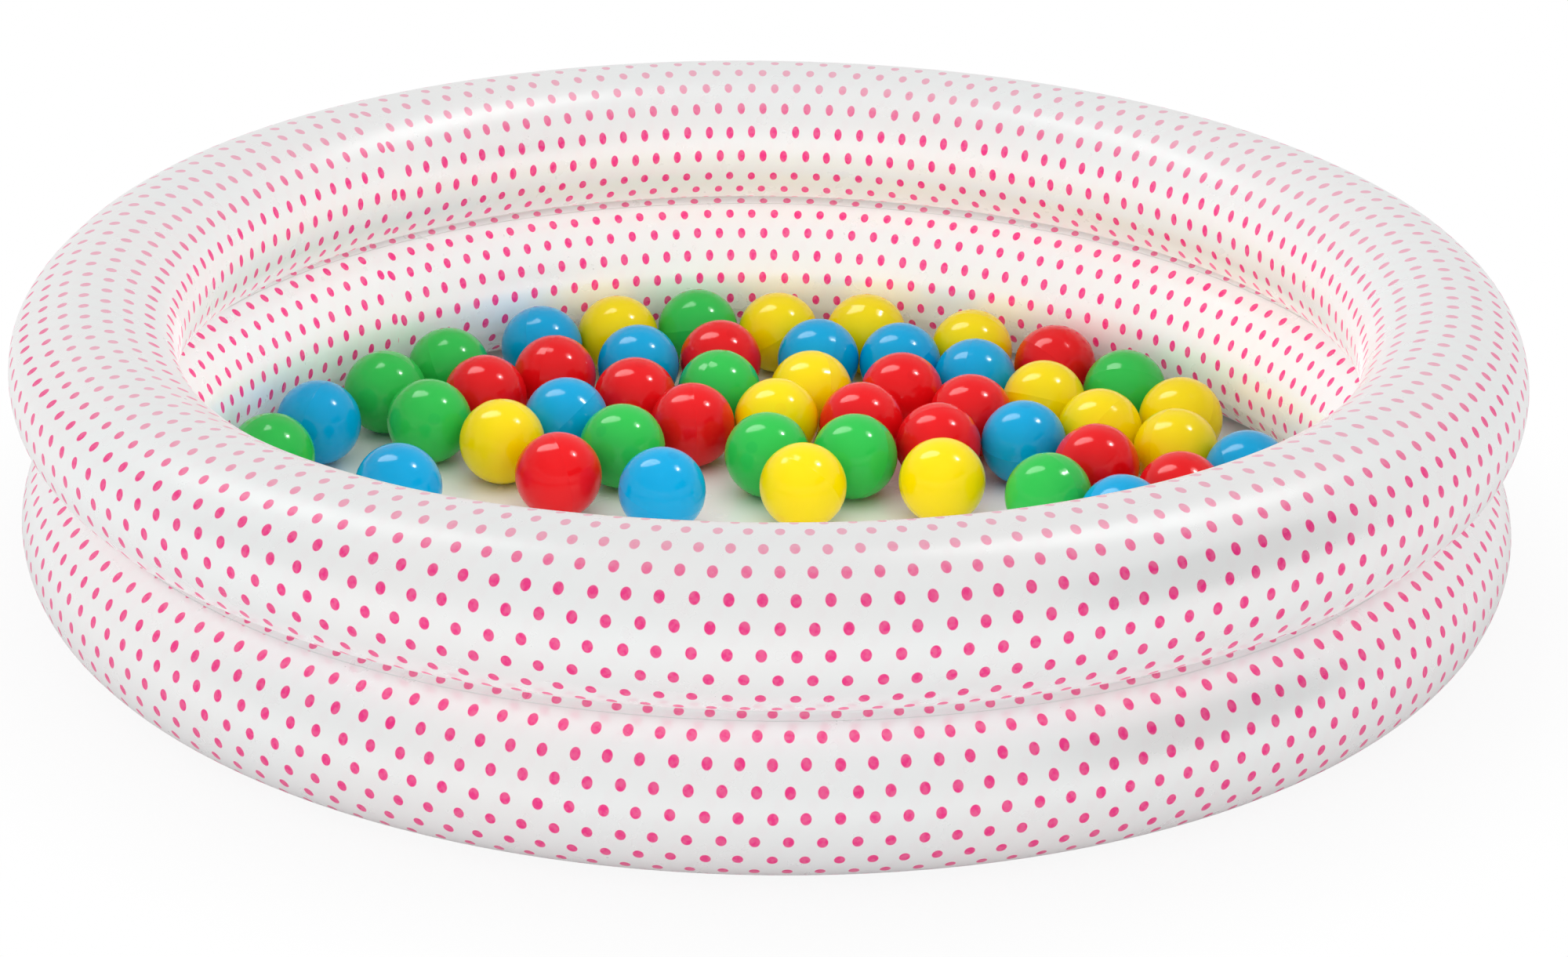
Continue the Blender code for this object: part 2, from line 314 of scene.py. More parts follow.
@dataclass(frozen=True)
class FloorFinish:
    """Plain white film for the floor, a little creased."""

    colour: Colour = (0.97, 0.972, 0.965, 1.0)
    shade: Colour = (0.95, 0.96, 0.95, 1.0)

    def build(self) -> bpy.types.Material:
        """Make the material."""
        material, sheet = new_material("floor_film")
        place = sheet.object_place()
        creases = sheet.noise(place, 9.0, 3.0, 0.55)
        colour = sheet.tint(sheet.smooth(creases, 0.40, 0.62), self.colour, self.shade)
        gloss = sheet.smooth(sheet.noise(place, 30.0, 2.0), 0.3, 0.7, 0.20, 0.28)
        sheet.principled(Base_Color=colour, Roughness=gloss, IOR=1.5, Coat_Weight=0.3, Coat_Roughness=0.15,
                         Normal=sheet.bump(creases, 0.35, 0.002))
        return material


@dataclass(frozen=True)
class BallFinish:
    """Glossy blown plastic, a little deeper in colour at the gate where the wall is thicker."""

    colour: BallColour

    def build(self) -> bpy.types.Material:
        """Make the material from the ball's own map of turns and heights."""
        name = "ball_" + self.colour.name.lower()
        material, sheet = new_material(name)
        body, deep = self.colour.value
        place = sheet.object_place()
        chart = sheet.node("ShaderNodeSeparateXYZ")
        sheet.feed(chart.inputs[0], sheet.node("ShaderNodeUVMap", uv_map="mould").outputs[0])
        gate = sheet.smooth(chart.outputs[1], 0.945, 0.962, 0.0, 0.55)
        cloud = sheet.smooth(sheet.noise(place, 45.0, 2.0), 0.35, 0.75, 0.0, 0.12)
        colour = sheet.tint(sheet.maths("MAXIMUM", gate, cloud), body, deep)
        gloss = sheet.smooth(sheet.noise(place, 120.0, 2.0), 0.3, 0.7, 0.11, 0.14)
        skin = sheet.noise(place, 420.0, 2.0)
        sheet.principled(Base_Color=colour, Roughness=gloss, IOR=1.46, Specular_IOR_Level=0.30,
                         Normal=sheet.bump(skin, 0.04, 0.0003))
        return material


@dataclass(frozen=True)
class VinylFinish:
    """Soft moulded vinyl of a valve, milky or clear."""

    name: str
    colour: Colour
    clear: float

    def build(self) -> bpy.types.Material:
        """Make the material."""
        material, sheet = new_material(self.name)
        place = sheet.object_place()
        cloud = sheet.noise(place, 260.0, 2.0)
        shade = tuple(part * 0.93 for part in self.colour[:3]) + (1.0,)
        colour = sheet.tint(sheet.smooth(cloud, 0.3, 0.7), self.colour, shade)
        gloss = sheet.smooth(sheet.noise(place, 500.0, 2.0), 0.3, 0.7, 0.30, 0.42)
        sheet.principled(Base_Color=colour, Roughness=gloss, IOR=1.52, Transmission_Weight=self.clear,
                         Normal=sheet.bump(sheet.noise(place, 1400.0, 2.0), 0.12, 0.0002))
        return material


def mesh_object(name: str, shape: bmesh.types.BMesh, material: bpy.types.Material,
                smooth: bool = True) -> bpy.types.Object:
    """Turn a finished bmesh into a piece in the scene.

    Args:
        name: The piece's name.
        shape: The bmesh, which is freed.
        material: Its finish.
        smooth: Whether its faces are shaded smooth.

    Returns:
        The new object.
    """
    mesh = bpy.data.meshes.new(name)
    for face in shape.faces:
        face.smooth = smooth
    shape.to_mesh(mesh)
    shape.free()
    mesh.materials.append(material)
    item = bpy.data.objects.new(name, mesh)
    bpy.context.scene.collection.objects.link(item)
    return item


def lathe(profile: Profile, steps: int, closed: bool) -> bmesh.types.BMesh:
    """Turn a profile of (radius, height) points once round the Z axis.

    Args:
        profile: The points, in order.
        steps: How many steps the turn has.
        closed: Whether the last point joins the first.

    Returns:
        The turned bmesh, closed and facing outwards.
    """
    shape = bmesh.new()
    points = [shape.verts.new((radius, 0.0, height)) for radius, height in profile]
    edges = [shape.edges.new(pair) for pair in zip(points, points[1:])]
    if closed:
        edges.append(shape.edges.new((points[-1], points[0])))
    bmesh.ops.spin(shape, geom=points + edges, cent=(0, 0, 0), axis=(0, 0, 1), angle=math.tau,
                   steps=steps, use_merge=True)
    bmesh.ops.remove_doubles(shape, verts=shape.verts, dist=1e-6)
    bmesh.ops.dissolve_degenerate(shape, edges=shape.edges, dist=1e-7)
    bmesh.ops.recalc_face_normals(shape, faces=shape.faces)
    return shape


def soften(shape: bmesh.types.BMesh, width: float, segments: int = 2) -> None:
    """Round the sharp edges of a shape."""
    sharp = [edge for edge in shape.edges if len(edge.link_faces) == 2 and edge.calc_face_angle() > 0.6]
    bmesh.ops.bevel(shape, geom=sharp, offset=width, affect="EDGES", segments=segments, profile=0.5,
                    material=-1, clamp_overlap=True)


def ease(value: float, start: float, end: float) -> float:
    """Rise smoothly from 0 at the start to 1 at the end."""
    share = min(max((value - start) / (end - start), 0.0), 1.0)
    return share * share * (3 - 2 * share)


def chart_faces(shape: bmesh.types.BMesh, layer_name: str, period: tuple[float, float],
                chart: Callable[[Vector], tuple[float, float]]) -> None:
    """Lay a map on a ring so that no face is torn where the map starts again.

    Args:
        shape: The ring.
        layer_name: The name of the map.
        period: After how much each coordinate starts again.
        chart: Gives the coordinates of a point.
    """
    layer = shape.loops.layers.uv.new(layer_name)
    for face in shape.faces:
        middle = chart(face.calc_center_median())
        for loop in face.loops:
            here = chart(loop.vert.co)
            loop[layer].uv = [value + span * round((near - value) / span)
                              for value, near, span in zip(here, middle, period)]


def raise_waist(place: Vector) -> None:
    """Move the waist and what lies near it up a little, and the front of the rim with it."""
    turn = math.remainder(math.atan2(place.y, place.x) + math.pi / 2, math.tau)
    near = max(0.0, 1 - abs(place.z - WAIST_HEIGHT) / 0.052)
    front = ease(math.cos(1.5 * (turn - 0.14)), 0.0, 1.0) if abs(turn - 0.14) < 1.04 else 0.0
    top = ease(place.z, 0.185, 0.225)
    left = math.exp(-((math.degrees(turn) + 68.0) / 28.0) ** 2)
    shoulder = ease(place.z, 0.200, 0.240)
    inner = 0.0
    if math.hypot(place.x, place.y) < CENTRE_LINE:
        reach = 0.018 if place.z > WAIST_HEIGHT else 0.030
        inner = max(0.0, 1 - abs(place.z - WAIST_HEIGHT) / reach)
    place.z += WAIST_LIFT * math.sin(near * math.pi / 2) ** 2 + 0.0044 * math.sin(inner * math.pi / 2) ** 2
    near_left = math.exp(-((math.degrees(turn) + 28.0) / 17.0) ** 2)
    place.z += 0.0028 * front * top - (0.0125 * left + 0.0034 * near_left) * shoulder


def dot_column(place: Vector) -> float:
    """Count the dot columns from the end seam, a little closer together at the back."""
    turn = seam_share(place) * math.tau
    return seam_share(place) * DOT_COLUMNS - 0.47 * math.sin(turn) - 0.33 * math.cos(turn)


def seam_share(place: Vector) -> float:
    """Give how far round the ring a point is from the end seam, from 0 to 1."""
    return ((math.degrees(math.atan2(place.y, place.x)) - SEAM_ANGLE) % 360.0) / 360.0


@dataclass
class AirRing:
    """One inflated ring: an oval tube of printed film, open only where its valve goes in."""

    name: str
    node: str
    width: float
    height: float
    middle: float
    first_column: float
    first_row: float
    lean: float
    swell: float
    swell_at: float
    cut: float
    film: float = 0.0003
    around: int = 288
    section: int = 96
    valve_hole: float = 0.0065

    def tube_angle(self, place: Vector) -> float:
        """Give the angle round the tube in degrees, from the outer side upwards."""
        out = (math.hypot(place.x, place.y) - CENTRE_LINE) / self.width
        return math.degrees(math.atan2((place.z - self.middle) / self.height, out))

    def print_place(self, place: Vector) -> tuple[float, float]:
        """Give the column and row of the print at a point of the film."""
        angle = self.cut + (self.tube_angle(place) - self.cut) % 360.0
        share = seam_share(place)
        drift = 4.0 * (1 - ease(share, 0.20, 0.38)) if share < 0.5 else 0.0
        if self.cut == -90.0:
            drift += 5.0 * ease(angle, 190.0, 215.0)
        else:
            drift -= 8.0 * (1 - ease(angle, -270.0, -217.0))
        turn = angle + self.lean + self.swell * math.sin(math.radians(angle - self.swell_at)) + drift
        return dot_column(place) + self.first_column, min((turn - self.first_row) / ROW_STEP, 13.5)

    def bake_place(self, place: Vector) -> tuple[float, float]:
        """Give the share of the way round the ring and round the tube."""
        return seam_share(place), ((self.tube_angle(place) - self.cut) % 360.0) / 360.0

    def shape_film(self) -> bmesh.types.BMesh:
        """Spin the oval section round the pool, starting at the end seam."""
        shape = bmesh.new()
        bmesh.ops.create_circle(shape, segments=self.section, radius=1.0)
        bmesh.ops.scale(shape, verts=shape.verts, vec=(self.width / 2, self.height / 2, 1.0))
        bmesh.ops.rotate(shape, verts=shape.verts, cent=(0, 0, 0), matrix=Matrix.Rotation(math.pi / 2, 3, "X"))
        bmesh.ops.translate(shape, verts=shape.verts, vec=(CENTRE_LINE, 0, self.middle))
        bmesh.ops.rotate(shape, verts=shape.verts, cent=(0, 0, 0),
                         matrix=Matrix.Rotation(math.radians(SEAM_ANGLE), 3, "Z"))
        bmesh.ops.spin(shape, geom=shape.verts[:] + shape.edges[:], cent=(0, 0, 0), axis=(0, 0, 1),
                       angle=math.tau, steps=self.around, use_merge=True)
        bmesh.ops.remove_doubles(shape, verts=shape.verts, dist=1e-6)
        bmesh.ops.recalc_face_normals(shape, faces=shape.faces)
        return shape

    def lay_maps(self, shape: bmesh.types.BMesh) -> None:
        """Lay the print on the film, and a second map, OFBake, in three strips."""
        rows = 360.0 / ROW_STEP
        chart_faces(shape, "print", (DOT_COLUMNS, rows), self.print_place)
        chart_faces(shape, "OFBake", (1.0, 1.0), self.bake_place)
        bake = shape.loops.layers.uv["OFBake"]
        strips = 3
        for face in shape.faces:
            strip = min(int(seam_share(face.calc_center_median()) * strips), strips - 1)
            for loop in face.loops:
                along, across = loop[bake].uv
                loop[bake].uv = (0.01 + 0.98 * (along * strips - strip), (strip + 0.02 + 0.94 * across) / strips)

    def open_valve_hole(self, item: bpy.types.Object, placement: Matrix) -> None:
        """Give the film its thickness and cut the hole that the valve goes through."""
        skin = item.modifiers.new("film", "SOLIDIFY")
        skin.thickness = self.film
        skin.offset = -1.0
        shape = bmesh.new()
        bmesh.ops.create_cone(shape, cap_ends=True, segments=48, radius1=self.valve_hole,
                              radius2=self.valve_hole, depth=0.006)
        bmesh.ops.transform(shape, verts=shape.verts, matrix=placement)
        cutter = mesh_object(self.name + "_cutter", shape, item.data.materials[0])
        hole = item.modifiers.new("hole", "BOOLEAN")
        hole.operation = "DIFFERENCE"
        hole.solver = "EXACT"
        hole.object = cutter
        bpy.context.view_layer.update()
        finished = bpy.data.meshes.new_from_object(item.evaluated_get(bpy.context.evaluated_depsgraph_get()))
        item.modifiers.clear()
        item.data = finished
        bpy.data.objects.remove(cutter)

    def build(self, finish: bpy.types.Material, placement: Matrix) -> bpy.types.Object:
        """Make the ring.

        Args:
            finish: The printed film.
            placement: The valve's place on the film.

        Returns:
            The finished ring.
        """
        shape = self.shape_film()
        for vert in shape.verts:
            raise_waist(vert.co)
        self.lay_maps(shape)
        item = mesh_object(self.name, shape, finish)
        self.open_valve_hole(item, placement)
        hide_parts(self.node)
        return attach(item, Body.POOL.value)


@dataclass
class WaistWeld:
    """The welded strip of film in the groove between the two rings."""

    name: str
    ridge_radius: float
    contact_radius: float
    depth: float
    low: float
    ridge: float
    high: float
    row: float
    first_column: float = 0.68
    row_length: float = 0.0150
    around: int = 288

    def profile(self) -> Profile:
        """Give the hollow of the strip, with its fine weld line, and its hidden back."""
        points = []
        count = 12
        for step in range(count + 1):
            share = step / count
            height = self.low + (self.high - self.low) * share
            bow = ((height - self.ridge) / (self.ridge - self.low)) ** 2
            radius = self.ridge_radius + (self.contact_radius - self.ridge_radius) * min(bow, 1.0)
            points.append((radius, height))
        points.append((self.depth, self.high - 0.0006))
        points.append((self.depth, self.low + 0.0006))
        return points

    def print_place(self, place: Vector) -> tuple[float, float]:
        """Give the column and row of the print at a point of the strip."""
        along = place.z - self.ridge
        out = math.hypot(place.x, place.y) - self.ridge_radius
        length = math.copysign(math.hypot(along, out), along)
        return dot_column(place) + self.first_column, self.row + length / self.row_length

    def build(self, finish: bpy.types.Material) -> bpy.types.Object:
        """Make the strip."""
        shape = lathe(self.profile(), self.around, closed=True)
        bmesh.ops.rotate(shape, verts=shape.verts, cent=(0, 0, 0),
                         matrix=Matrix.Rotation(math.radians(SEAM_ANGLE), 3, "Z"))
        chart_faces(shape, "print", (DOT_COLUMNS, 1000.0), self.print_place)
        for vert in shape.verts:
            raise_waist(vert.co)
        item = mesh_object(self.name, shape, finish)
        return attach(item, Body.POOL.value)


@dataclass
class FloorFilm:
    """The film floor, which lies flat under the balls and is welded under the lower ring."""

    radius: float = 0.526
    thickness: float = 0.0003
    rings: int = 40
    around: int = 144

    def build(self, finish: bpy.types.Material) -> bpy.types.Object:
        """Make the floor."""
        top = [(self.radius * step / self.rings, self.thickness) for step in range(self.rings + 1)]
        shape = lathe(top + [(self.radius, 0.0), (0.0, 0.0)], self.around, closed=False)
        item = mesh_object("floor_film", shape, finish, smooth=False)
        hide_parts("floor_sheet")
        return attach(item, Body.POOL.value)


@dataclass
class Valve:
    """One air valve: its welded disc, blow tube, stopper with tether, and flap."""

    prefix: str
    tube_width: float
    tube_height: float
    middle: float
    flange_radius: float = 0.0110
    flange_thickness: float = 0.0012
    stem_radius: float = 0.0054
    bore_radius: float = 0.0033
    stem_length: float = 0.0150
    collar_radius: float = 0.0070
    collar_thickness: float = 0.0014
    head_radius: float = 0.0066
    head_thickness: float = 0.0018
    pin_length: float = 0.0070
    tether_width: float = 0.0030
    tether_thickness: float = 0.0008
    tether_reach: float = 0.0110
    flap_radius: float = 0.0046
    flap_thickness: float = 0.0006
    gap: float = 0.0003
    sides: int = 64

    def placement(self) -> Matrix:
        """Give the valve's place: +Z out of the film, +Y up, the origin on the film."""
        turn = math.radians(VALVE_ANGLE)
        outwards = Vector((math.cos(turn), math.sin(turn), 0.0))
        upwards = Vector((0.0, 0.0, 1.0))
        seat = outwards * (CENTRE_LINE + self.tube_width / 2) + upwards * self.middle
        axes = Matrix((upwards.cross(outwards), upwards, outwards)).transposed()
        return Matrix.Translation(seat) @ axes.to_4x4()

    def place(self, shape: bmesh.types.BMesh, part: str, body: str, finish: bpy.types.Material,
              slot: str, replaces: bool = True) -> bpy.types.Object:
        """Put a part of the valve in its place and let it ride.

        Args:
            shape: The part, round the valve's own Z axis.
            part: The part's name without the prefix.
            body: The body it moves with.
            finish: Its material.
            slot: The record's material slot; not used.
            replaces: Whether it stands for the node of the same name.

        Returns:
            The finished piece.
        """
        bmesh.ops.transform(shape, verts=shape.verts, matrix=self.placement())
        item = mesh_object(f"{self.prefix}_{part}_detail", shape, finish)
        if replaces:
            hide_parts(f"{self.prefix}_valve_{part}")
        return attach(item, body)

    def flange(self, finish: bpy.types.Material) -> None:
        """Make the welded disc, which lies along the bulge of the film."""
        inner = self.stem_radius + self.gap
        rim = self.flange_radius
        low, high = self.gap, self.gap + self.flange_thickness
        weld = rim - 0.0022
        profile = [(inner, low), (rim, low), (rim, low + 0.0005), (weld, low + 0.0006), (weld - 0.0004, high),
                   (inner, high)]
        shape = lathe(profile, self.sides, closed=True)
        soften(shape, 0.00018)
        for vert in shape.verts:
            up, side = vert.co.y, vert.co.x
            vert.co.z -= up * up / self.tube_height + side * side / (2 * CENTRE_LINE + self.tube_width)
        self.place(shape, "flange", Body.POOL.value, finish, "valve_soft")

    def stem(self, finish: bpy.types.Material) -> None:
        """Make the blow tube with its collar, lip and chamfered end."""
        seat = self.gap * 2 + self.flange_thickness
        top = seat + self.collar_thickness
        bottom = seat - self.stem_length
        bore, outer = self.bore_radius, self.stem_radius
        profile = [(bore, bottom), (outer - 0.0006, bottom), (outer, bottom + 0.0008), (outer, seat),
                   (self.collar_radius, seat), (self.collar_radius, top), (bore + 0.0012, top),
                   (bore + 0.0008, top - 0.0003), (bore, top - 0.0003)]
        shape = lathe(profile, self.sides, closed=True)
        soften(shape, 0.00022)
        self.place(shape, "stem", self.prefix + "_stem", finish, "valve_clear")

    def plug(self, finish: bpy.types.Material) -> None:
        """Make the stopper, whose head has a thumb lip on the side away from the tether."""
        seat = 3 * self.gap + self.flange_thickness + self.collar_thickness
        pin = self.bore_radius - self.gap
        end = seat - self.pin_length
        top = seat + self.head_thickness
        profile = [(0.0, end), (0.0024, end), (pin, end + 0.0014), (pin, end + 0.0030), (pin - 0.0002, end + 0.0034),
                   (pin - 0.0002, seat), (self.head_radius, seat), (self.head_radius, top - 0.0002),
                   (self.head_radius * 0.62, top), (self.head_radius * 0.52, top - 0.0004), (0.0, top - 0.0004)]
        shape = lathe(profile, self.sides, closed=False)
        soften(shape, 0.00016)
        for vert in shape.verts:
            reach = math.hypot(vert.co.x, vert.co.y)
            if vert.co.z > seat - 0.0001 and reach > self.head_radius * 0.6 and vert.co.x < 0:
                share = (-vert.co.x / reach) ** 8
                vert.co.x -= 0.0019 * share * (reach / self.head_radius)
        self.place(shape, "plug", self.prefix + "_plug", finish, "valve_clear")

    def tether(self, finish: bpy.types.Material) -> None:
        """Make the strap that joins the stopper to the collar, bent back on itself."""
        seat = 3 * self.gap + self.flange_thickness + self.collar_thickness
        high = seat + (self.head_thickness + self.tether_thickness) / 2
        low = seat - self.gap - self.collar_thickness
        radius = (high - low) / 2
        turn_at = self.tether_reach - radius
        start, end = self.head_radius - 0.0009, self.collar_radius + self.gap
        length = (turn_at - start) + math.pi * radius + (turn_at - end)
        shape = bmesh.new()
        bmesh.ops.create_grid(shape, x_segments=28, y_segments=4, size=0.5)
        for vert in shape.verts:
            along = (vert.co.x + 0.5) * length
            narrow = 1.0 - 0.25 * math.sin(math.pi * (vert.co.x + 0.5))
            across = vert.co.y * self.tether_width * narrow
            if along < turn_at - start:
                vert.co = Vector((start + along, across, high))
            elif along < turn_at - start + math.pi * radius:
                bend = (along - (turn_at - start)) / radius
                vert.co = Vector((turn_at + radius * math.sin(bend), across, high - radius + radius * math.cos(bend)))
            else:
                rest = along - (turn_at - start) - math.pi * radius
                vert.co = Vector((turn_at - rest, across, low))
        bmesh.ops.recalc_face_normals(shape, faces=shape.faces)
        item = self.place(shape, "tether", self.prefix + "_plug", finish, "valve_clear", replaces=False)
        strap = item.modifiers.new("strap", "SOLIDIFY")
        strap.thickness = self.tether_thickness
        strap.offset = -1.0
        bpy.context.view_layer.update()
        solid = bpy.data.meshes.new_from_object(item.evaluated_get(bpy.context.evaluated_depsgraph_get()))
        item.modifiers.clear()
        item.data = solid
        item.parent = None
        item.matrix_world = Matrix.Identity(4)
        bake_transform(item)

    def flap(self, finish: bpy.types.Material) -> None:
        """Make the flap, domed a little where it closes the bore."""
        high = 2 * self.gap + self.flange_thickness - self.stem_length - self.gap
        low = high - self.flap_thickness
        profile = [(0.0, low), (self.flap_radius, low), (self.flap_radius, high), (self.bore_radius - 0.0004, high),
                   (self.bore_radius - 0.0007, high + 0.0001), (0.0, high + 0.0001)]
        shape = lathe(profile, self.sides, closed=False)
        soften(shape, 0.00012)
        self.place(shape, "flap", self.prefix + "_flap", finish, "valve_soft")

    def build(self, soft: bpy.types.Material, clear: bpy.types.Material) -> None:
        """Make the whole valve."""
        self.flange(soft)
        self.stem(clear)
        self.plug(clear)
        self.tether(clear)
        self.flap(soft)


@dataclass
class PlayBall:
    """A hollow blown ball with its mould's parting line and gate mark."""

    radius: float
    columns: int = 48
    rows: int = 26
    ridge_width: float = 0.0007
    ridge_height: float = 0.00012

    def profile(self) -> Profile:
        """Give the half outline, from pole to pole, with the ridge at the middle."""
        half = math.asin(self.ridge_width / 2 / self.radius)
        heights = [math.pi / 2 * (1 - step / self.rows * 2) for step in range(self.rows + 1)]
        heights = [height for height in heights if abs(height) > half * 2.5]
        ridge = [2 * half, half, 0.0, -half, -2 * half]
        points = []
        for height in sorted(heights + ridge, reverse=True):
            lift = self.ridge_height * (1 - ease(abs(height), 0.0, 2 * half))
            points.append(((self.radius + lift) * math.cos(height), (self.radius + lift) * math.sin(height)))
        points[0] = (0.0, self.radius)
        points[-1] = (0.0, -self.radius)
        return points

    def build(self, name: str, centre: Vector, turn: Matrix, finish: bpy.types.Material) -> bpy.types.Object:
        """Make the ball.

        Args:
            name: The piece's name.
            centre: Where its middle is.
            turn: How the mould's axis lies.
            finish: Its plastic.

        Returns:
            The finished ball.
        """
        shape = lathe(self.profile(), self.columns, closed=False)
        mould = shape.loops.layers.uv.new("mould")
        for face in shape.faces:
            for loop in face.loops:
                height = math.asin(max(-1.0, min(1.0, loop.vert.co.z / self.radius)))
                share = math.atan2(loop.vert.co.y, loop.vert.co.x) / math.tau
                loop[mould].uv = (share, 0.5 + height / math.pi)
        bmesh.ops.rotate(shape, verts=shape.verts, cent=(0, 0, 0), matrix=turn)
        bmesh.ops.translate(shape, verts=shape.verts, vec=centre)
        return mesh_object(name, shape, finish)


class BallSet:
    """All the play balls, where the frame has them."""

    def __init__(self, record: dict, seed: int = 7) -> None:
        """Read each ball's colour slot from the record."""
        self.slots = {part["node"]: part["material_slot"] for part in record["subparts"]
                      if part["node"].startswith("ball_")}
        self.chance = random.Random(seed)

    def turn(self, node: str) -> Matrix:
        """Give a ball its own lie, with the parting line where the picture shows one."""
        shown = {"ball_10": (90, 0, 70), "ball_19": (12, 8, 0), "ball_23": (30, 40, 0), "ball_40": (55, 60, 0),
                 "ball_33": (6, 0, 0), "ball_38": (60, 0, -25), "ball_27": (66, 0, 12)}
        chance = [self.chance.uniform(-180, 180) for _ in range(3)]
        tilt, roll, swing = (math.radians(angle) for angle in shown.get(node, chance))
        turn = Matrix.Rotation(swing, 3, "Z") @ Matrix.Rotation(roll, 3, "Y") @ Matrix.Rotation(tilt, 3, "X")
        return turn

    def build(self) -> int:
        """Make every ball and give how many there are."""
        finishes = {"ball_" + colour.name.lower(): BallFinish(colour).build() for colour in BallColour}
        for node, slot_name in sorted(self.slots.items()):
            low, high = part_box(node)
            ball = PlayBall(radius=(high.z - low.z) / 2)
            item = ball.build("play_" + node, (low + high) / 2, self.turn(node), finishes[slot_name])
            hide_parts(node)
            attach(item, Body.BALLS.value)
        return len(self.slots)


@dataclass(frozen=True)
class SoftLamp:
    """A large lamp seen from the pool in one direction, as bright as its radiance says."""

    name: str
    direction: tuple[float, float, float]
    distance: float
    wide: float
    tall: float
    radiance: float
    turn: float = 0.0
    rays: Rays = Rays.BOTH
    centre_height: float = 0.12
    outwards: bool = False
    shines_on: tuple[str, ...] = ()
    unshaded: bool = False

    def build(self) -> bpy.types.Object:
        """Make the lamp and aim it at the pool."""
        data = bpy.data.lights.new(self.name, "AREA")
        data.shape = "ELLIPSE"
        data.size = 2 * self.distance * math.tan(math.radians(self.wide / 2))
        data.size_y = 2 * self.distance * math.tan(math.radians(self.tall / 2))
        data.energy = self.radiance * math.pi * math.pi / 4 * data.size * data.size_y
        lamp = bpy.data.objects.new(self.name, data)
        bpy.context.scene.collection.objects.link(lamp)
        aim = Vector(self.direction).normalized()
        back = -aim if self.outwards else aim
        turn = back.to_track_quat("Z", "Y").to_matrix() @ Matrix.Rotation(math.radians(self.turn), 3, "Z")
        place = aim * self.distance + Vector((0, 0, self.centre_height))
        lamp.matrix_world = Matrix.Translation(place) @ turn.to_4x4()
        lamp.visible_camera = False
        lamp.visible_diffuse = self.rays is not Rays.GLOSS
        lamp.visible_glossy = self.rays is not Rays.MATT
        if self.rays is Rays.GLOSS:
            self.keep_off_matt_walls(data)
        if self.shines_on:
            lit = bpy.data.collections.new(self.name + "_shines_on")
            for item in bpy.context.scene.objects:
                if item.name.startswith(self.shines_on):
                    lit.objects.link(item)
            lamp.light_linking.receiver_collection = lit
            if self.unshaded:
                lamp.light_linking.blocker_collection = lit
        return lamp

    def keep_off_matt_walls(self, data: bpy.types.Light) -> None:
        """Put the lamp out where a matt surface would see it mirrored in a glossy one."""
        data.use_nodes = True
        sheet = NodeSheet(data.node_tree)
        depth = sheet.node("ShaderNodeLightPath").outputs["Diffuse Depth"]
        emission = sheet.node("ShaderNodeEmission")
        sheet.feed(emission.inputs["Strength"], sheet.maths("LESS_THAN", depth, 0.5))
        output = sheet.node("ShaderNodeOutputLight")
        sheet.feed(output.inputs["Surface"], emission.outputs[0])


